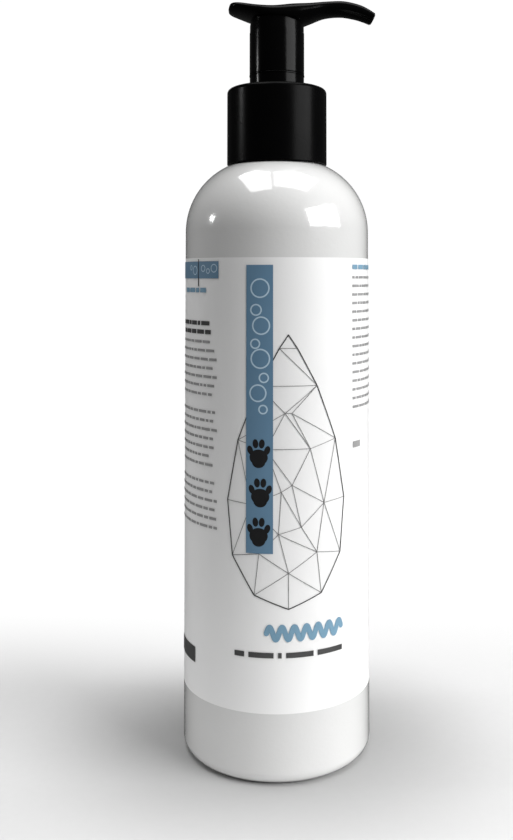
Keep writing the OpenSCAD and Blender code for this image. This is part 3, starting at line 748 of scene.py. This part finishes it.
head_mesh = bmesh.new()
shell = bmesh.new()
rows = [(Vector(top), Vector(low), half) for top, low, half in stations]
loops = []
for i in range(len(rows) - 1):
    near = [rows[max(0, min(len(rows) - 1, k))] for k in (i - 1, i, i + 1, i + 2)]
    for step in range(row_steps):
        loops.append(ring(shell, *(through(*values, step / row_steps) for values in zip(*near)),
                          top_power))
# the tip: a shallow lip, then the flat end with the nozzle's bore
top, low, half = rows[-1]
back = (rows[-2][0] - top).normalized()
for set_back, inward in ((1.0, 0.0), (0.95, 0.14), (0.2, 0.14), (0.0, 0.32)):
    inset = (low - top).normalized() * inward
    loops.append(ring(shell, top + inset + back * set_back, low - inset + back * set_back,
                      half - inward, top_power))
path = [Vector(point) for point in channel]
across_bore = (top - low).normalized() * bore_r
loops.append(ring(shell, (top + low) / 2 + across_bore, (top + low) / 2 - across_bore, bore_r, 2))
for a, b in zip(path, path[1:]):
    side = Vector((b - a).yx) * Vector((1, -1))
    side = side.normalized() * bore_r
    side = side if side.y > 0 else -side
    loops.append(ring(shell, a + side, a - side, bore_r, 2))
loops.append(ring(shell, path[-1] + side, path[-1] - side, bore_r, 2))
for a, b in zip(loops, loops[1:]):
    bmesh.ops.bridge_loops(shell, edges=a + b)
close_ends(shell)
bmesh.ops.translate(shell, vec=(0, 0, head_z), verts=shell.verts)
add_to(head_mesh, shell)

boss_z = collar_z - 4.5
stem_end, skirt_top, lug_r, lug_root = head_z - 2.1, head_z + 2.5, 6.11, boss_r - 0.3
turned(head_mesh, [
    (0, skirt_top), (skirt_r - 0.5, skirt_top), (skirt_r - 0.09, head_z),
    (skirt_r - 0.09, head_z - 1.9), (skirt_r, head_z - 2.05), (skirt_r, skirt_z, 0.12),
    (skirt_bore, skirt_z, 0.12), (skirt_bore, head_z - 2, 0.4), (boss_r, head_z - 2, 0.4),
    (boss_r, boss_z, 0.25), (boss_bore, boss_z, 0.25), (boss_bore, stem_end, 0.1),
    (stem_bore, stem_end, 0.1), (stem_bore, head_z + 0.9), (0, head_z + 0.9)], steps=128)
lug_half = math.degrees(math.asin(2.0 / lug_r))
for side in (90, 270):
    turned(head_mesh, [(lug_root, boss_z), (lug_r, boss_z, 0.2), (lug_r, boss_z + 1.5, 0.2),
                       (lug_root, boss_z + 1.5)],
           steps=16, turn=2 * lug_half, start=side - lug_half)
pump_head = finished("pump_head", head_mesh, gloss_black)
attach(pump_head, "head")
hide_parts("actuator")


# ------------------------------------------------------------------ floor, lights and camera
# A pale studio floor under soft lights: one overhead in two halves, a large one to the right, a
# weak fill behind on each side, and a small lamp on the left for the sparkle on the shoulder.
# Reflections leave out the floor and the two fills.
def emission(nodes, colour, strength):
    """An emission shader of one colour."""
    node = nodes.new("ShaderNodeEmission")
    node.inputs["Color"].default_value = (*colour, 1)
    node.inputs["Strength"].default_value = strength
    return node.outputs["Emission"]


floor_mesh = bmesh.new()
bmesh.ops.create_grid(floor_mesh, x_segments=8, y_segments=8, size=3000)
bmesh.ops.translate(floor_mesh, vec=(0, 0, -0.02), verts=floor_mesh.verts)
pale = bpy.data.materials.new("pale_floor")
pale.use_nodes = True
nodes, links = pale.node_tree.nodes, pale.node_tree.links
shader = nodes["Principled BSDF"]
shader.inputs["Roughness"].default_value = 0.8
shader.inputs["Specular IOR Level"].default_value = 0.1
where = nodes.new("ShaderNodeTexCoord")
speckle = nodes.new("ShaderNodeTexNoise")
speckle.inputs["Scale"].default_value = 400
links.new(where.outputs["Object"], speckle.inputs["Vector"])
tone = nodes.new("ShaderNodeMix")
tone.data_type = "RGBA"
tone.inputs["A"].default_value = (0.59, 0.59, 0.59, 1)
tone.inputs["B"].default_value = (0.61, 0.61, 0.61, 1)
links.new(speckle.outputs["Fac"], tone.inputs["Factor"])


def reach(nodes, links, socket, start, end, low, high):
    """A smooth change from one value to another as a distance grows."""
    node = nodes.new("ShaderNodeMapRange")
    node.interpolation_type = "SMOOTHSTEP"
    for name, value in (("From Min", start), ("From Max", end), ("To Min", low), ("To Max", high)):
        node.inputs[name].default_value = value
    links.new(socket, node.inputs["Value"])
    return node.outputs["Result"]


# painted shadow and painted bounce light: what the camera sees is painted darker under the bottle's
# foot, and for what the bottle sees the floor is painted 1.3 times brighter near the foot and fades
# out further off
length = nodes.new("ShaderNodeVectorMath")
length.operation = "LENGTH"
links.new(where.outputs["Object"], length.inputs[0])
seen = nodes.new("ShaderNodeLightPath")
# painted shadow under the foot for camera rays, painted bounce light near it for all other rays
painted_shadow_and_bounce = nodes.new("ShaderNodeMix")
links.new(seen.outputs["Is Camera Ray"], painted_shadow_and_bounce.inputs["Factor"])
links.new(reach(nodes, links, length.outputs["Value"], 0.06, 0.26, 1.3, 0), painted_shadow_and_bounce.inputs["A"])
links.new(reach(nodes, links, length.outputs["Value"], 0.018, 0.075, 0.62, 1), painted_shadow_and_bounce.inputs["B"])
shade = nodes.new("ShaderNodeVectorMath")
shade.operation = "SCALE"
links.new(tone.outputs["Result"], shade.inputs[0])
links.new(painted_shadow_and_bounce.outputs["Result"], shade.inputs["Scale"])
links.new(shade.outputs["Vector"], shader.inputs["Base Color"])
# behind the bottle, and further off all round, it fades into the white of the backdrop
place = nodes.new("ShaderNodeSeparateXYZ")
links.new(where.outputs["Object"], place.inputs["Vector"])
white_out = nodes.new("ShaderNodeMath")
white_out.operation = "MAXIMUM"
links.new(reach(nodes, links, place.outputs["Y"], 0.015, 0.11, 0, 1), white_out.inputs[0])
links.new(reach(nodes, links, length.outputs["Value"], 0.14, 0.36, 0, 1), white_out.inputs[1])
lit = nodes.new("ShaderNodeMath")
lit.operation = "MULTIPLY"
links.new(white_out.outputs["Value"], lit.inputs[0])
links.new(seen.outputs["Is Camera Ray"], lit.inputs[1])
blend = nodes.new("ShaderNodeMixShader")
links.new(lit.outputs["Value"], blend.inputs["Fac"])
links.new(shader.outputs["BSDF"], blend.inputs[1])
links.new(emission(nodes, (1, 1, 1), 1.02), blend.inputs[2])
links.new(blend.outputs["Shader"], nodes["Material Output"].inputs["Surface"])
floor = finished("floor", floor_mesh, pale)
floor.visible_glossy = False

# white behind everything, and a dim room for what the surfaces see
room = bpy.data.worlds.new("room")
bpy.context.scene.world = room
room.use_nodes = True
nodes, links = room.node_tree.nodes, room.node_tree.links
dim = nodes["Background"]
dim.inputs["Color"].default_value = (0.07, 0.07, 0.07, 1)
white = nodes.new("ShaderNodeBackground")
white.inputs["Color"].default_value = (1, 1, 1, 1)
white.inputs["Strength"].default_value = 1.02
seen = nodes.new("ShaderNodeLightPath")
choice = nodes.new("ShaderNodeMixShader")
links.new(seen.outputs["Is Camera Ray"], choice.inputs["Fac"])
links.new(dim.outputs["Background"], choice.inputs[1])
links.new(white.outputs["Background"], choice.inputs[2])
links.new(choice.outputs["Shader"], nodes["World Output"].inputs["Surface"])


def softbox(name, place, aim, size, radiance, round_face=False):
    """A soft light of one size in metres, turned to face a point, as bright as its radiance says."""
    light = bpy.data.lights.new(name, "AREA")
    light.shape = "ELLIPSE" if round_face else "RECTANGLE"
    light.size, light.size_y = size
    area = size[0] * size[1] * (math.pi / 4 if round_face else 1)
    light.energy = radiance * math.pi * area
    obj = bpy.data.objects.new(name, light)
    obj.location = place
    obj.rotation_euler = (Vector(aim) - Vector(place)).to_track_quat("-Z", "Y").to_euler()
    bpy.context.scene.collection.objects.link(obj)
    return obj


shoulder = (0, 0, 0.14)
softbox("overhead_left", (-0.245, -0.05, 0.92), (-0.245, -0.05, 0), (0.35, 0.66), 5.2)
softbox("overhead_right", (0.22, -0.05, 0.92), (0.22, -0.05, 0), (0.50, 0.50), 5.2)
softbox("right_softbox", (0.72, -0.38, 0.42), shoulder, (0.66, 0.40), 11.5)
for name, side, radiance in (("left_fill", -0.70, 1.6), ("right_fill", 0.70, 2.4)):
    fill = softbox(name, (side, 0.36, 0.28), (0, 0, 0.05), (0.60, 0.50), radiance)
    fill.visible_glossy = False
softbox("left_lamp", (-0.78, -0.02, 0.335), shoulder, (0.07, 0.08), 68.0, round_face=True)

camera = bpy.data.cameras.new("camera")
camera.lens = 41.29
camera.shift_x = -0.03074
camera.shift_y = -0.21
viewer = bpy.data.objects.new("camera", camera)
viewer.location = (0.0015, -0.26437, 0.12416)
viewer.rotation_euler = (math.radians(90 + 2.035), 0, 0)
bpy.context.scene.collection.objects.link(viewer)
bpy.context.scene.camera = viewer
bpy.context.scene.view_settings.view_transform = "Standard"
